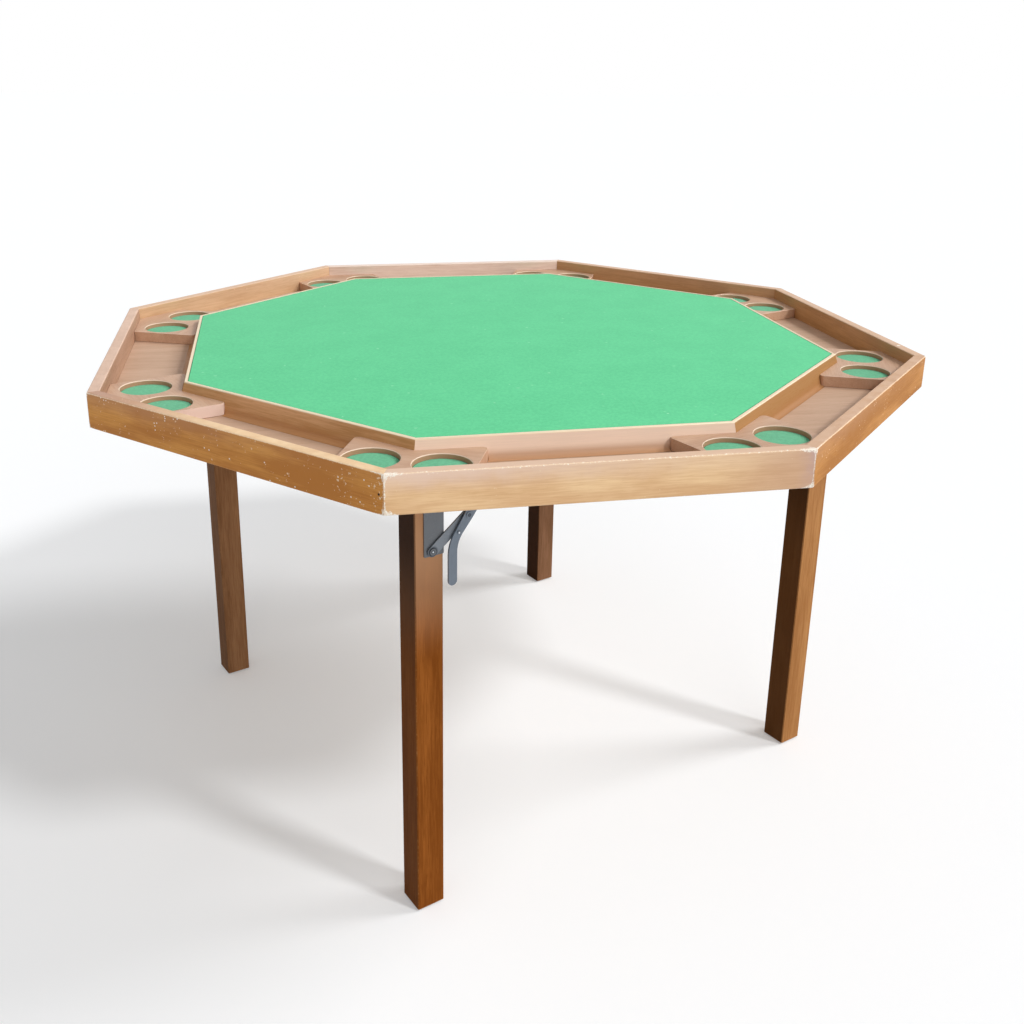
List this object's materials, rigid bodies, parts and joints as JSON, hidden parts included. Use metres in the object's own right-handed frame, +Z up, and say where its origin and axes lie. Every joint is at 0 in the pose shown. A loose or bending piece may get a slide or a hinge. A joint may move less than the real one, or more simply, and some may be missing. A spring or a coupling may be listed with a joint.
{
  "type": "folding poker table",
  "caption": "Octagonal wooden card table with a felt deck, chip troughs, paired cup recesses at the corners and legs that fold under the top on toggle braces.",
  "frame": {"origin": "on the floor under the middle of the table", "axes": "+Z up; the front side of the top faces -Y and the right side faces +X"},
  "size_m": [1.34, 1.34, 0.762],
  "materials": {
    "rim_wood": "satin lacquer",
    "block_wood": "satin lacquer",
    "panel_wood": "satin lacquer",
    "edge_wood": "satin lacquer",
    "leg_wood": "satin lacquer",
    "felt": "napped felt",
    "steel": "dull plated",
    "glide_metal": "dull"
  },
  "bodies": {
    "table_top": {"rim_board_front": "rim_wood", "rim_board_front_right": "rim_wood", "rim_board_right": "rim_wood", "rim_board_back_right": "rim_wood", "rim_board_back": "rim_wood", "rim_board_back_left": "rim_wood", "rim_board_left": "rim_wood", "rim_board_front_left": "rim_wood", "corner_block_1": "block_wood", "cup_felt_1_first": "felt", "cup_felt_1_second": "felt", "corner_block_2": "block_wood", "cup_felt_2_first": "felt", "cup_felt_2_second": "felt", "corner_block_3": "block_wood", "cup_felt_3_first": "felt", "cup_felt_3_second": "felt", "corner_block_4": "block_wood", "cup_felt_4_first": "felt", "cup_felt_4_second": "felt", "corner_block_5": "block_wood", "cup_felt_5_first": "felt", "cup_felt_5_second": "felt", "corner_block_6": "block_wood", "cup_felt_6_first": "felt", "cup_felt_6_second": "felt", "corner_block_7": "block_wood", "cup_felt_7_first": "felt", "cup_felt_7_second": "felt", "corner_block_8": "block_wood", "cup_felt_8_first": "felt", "cup_felt_8_second": "felt", "base_panel": "panel_wood", "deck_core": "panel_wood", "deck_edging": "edge_wood", "playing_felt": "felt", "table_bracket_front": "steel", "table_bracket_right": "steel", "table_bracket_back": "steel", "table_bracket_left": "steel"},
    "front_leg": {"leg_front": "leg_wood", "glide_front": "glide_metal", "leg_plate_front": "steel"},
    "front_link": {"lower_link_front": "steel"},
    "front_lever": {"release_lever_front": "steel"},
    "right_leg": {"leg_right": "leg_wood", "glide_right": "glide_metal", "leg_plate_right": "steel"},
    "right_link": {"lower_link_right": "steel"},
    "right_lever": {"release_lever_right": "steel"},
    "back_leg": {"leg_back": "leg_wood", "glide_back": "glide_metal", "leg_plate_back": "steel"},
    "back_link": {"lower_link_back": "steel"},
    "back_lever": {"release_lever_back": "steel"},
    "left_leg": {"leg_left": "leg_wood", "glide_left": "glide_metal", "leg_plate_left": "steel"},
    "left_link": {"lower_link_left": "steel"},
    "left_lever": {"release_lever_left": "steel"}
  },
  "joints": [
    {"name": "leg_fold_front", "type": "hinge", "parent": "table_top", "child": "front_leg", "pos_m": [-0.20722, -0.51228, 0.688], "axis": [0.3827, -0.9239, 0], "range_deg": [0, 90]},
    {"name": "link_turn_front", "type": "hinge", "parent": "front_leg", "child": "front_link", "pos_m": [-0.21036, -0.51358, 0.5934], "axis": [0.3827, -0.9239, 0], "range_deg": [0, 60.1]},
    {"name": "lever_turn_front", "type": "hinge", "parent": "table_top", "child": "front_lever", "pos_m": [-0.11908, -0.47577, 0.697], "axis": [0.3827, -0.9239, 0], "range_deg": [-36.7, 0]},
    {"name": "leg_fold_right", "type": "hinge", "parent": "table_top", "child": "right_leg", "pos_m": [0.51228, -0.20722, 0.688], "axis": [0.9239, 0.3827, 0], "range_deg": [0, 90]},
    {"name": "link_turn_right", "type": "hinge", "parent": "right_leg", "child": "right_link", "pos_m": [0.51358, -0.21036, 0.5934], "axis": [0.9239, 0.3827, 0], "range_deg": [0, 60.1]},
    {"name": "lever_turn_right", "type": "hinge", "parent": "table_top", "child": "right_lever", "pos_m": [0.47577, -0.11908, 0.697], "axis": [0.9239, 0.3827, 0], "range_deg": [-36.7, 0]},
    {"name": "leg_fold_back", "type": "hinge", "parent": "table_top", "child": "back_leg", "pos_m": [0.20722, 0.51228, 0.688], "axis": [-0.3827, 0.9239, 0], "range_deg": [0, 90]},
    {"name": "link_turn_back", "type": "hinge", "parent": "back_leg", "child": "back_link", "pos_m": [0.21036, 0.51358, 0.5934], "axis": [-0.3827, 0.9239, 0], "range_deg": [0, 60.1]},
    {"name": "lever_turn_back", "type": "hinge", "parent": "table_top", "child": "back_lever", "pos_m": [0.11908, 0.47577, 0.697], "axis": [-0.3827, 0.9239, 0], "range_deg": [-36.7, 0]},
    {"name": "leg_fold_left", "type": "hinge", "parent": "table_top", "child": "left_leg", "pos_m": [-0.51228, 0.20722, 0.688], "axis": [-0.9239, -0.3827, 0], "range_deg": [0, 90]},
    {"name": "link_turn_left", "type": "hinge", "parent": "left_leg", "child": "left_link", "pos_m": [-0.51358, 0.21036, 0.5934], "axis": [-0.9239, -0.3827, 0], "range_deg": [0, 60.1]},
    {"name": "lever_turn_left", "type": "hinge", "parent": "table_top", "child": "left_lever", "pos_m": [-0.47577, 0.11908, 0.697], "axis": [-0.9239, -0.3827, 0], "range_deg": [-36.7, 0]}
  ],
  "couplings": [
    {"joint": "link_turn_front", "follows": "leg_fold_front", "ratio": 0.66749},
    {"joint": "lever_turn_front", "follows": "leg_fold_front", "ratio": -0.40685},
    {"joint": "link_turn_right", "follows": "leg_fold_right", "ratio": 0.66749},
    {"joint": "lever_turn_right", "follows": "leg_fold_right", "ratio": -0.40685},
    {"joint": "link_turn_back", "follows": "leg_fold_back", "ratio": 0.66749},
    {"joint": "lever_turn_back", "follows": "leg_fold_back", "ratio": -0.40685},
    {"joint": "link_turn_left", "follows": "leg_fold_left", "ratio": 0.66749},
    {"joint": "lever_turn_left", "follows": "leg_fold_left", "ratio": -0.40685}
  ]
}
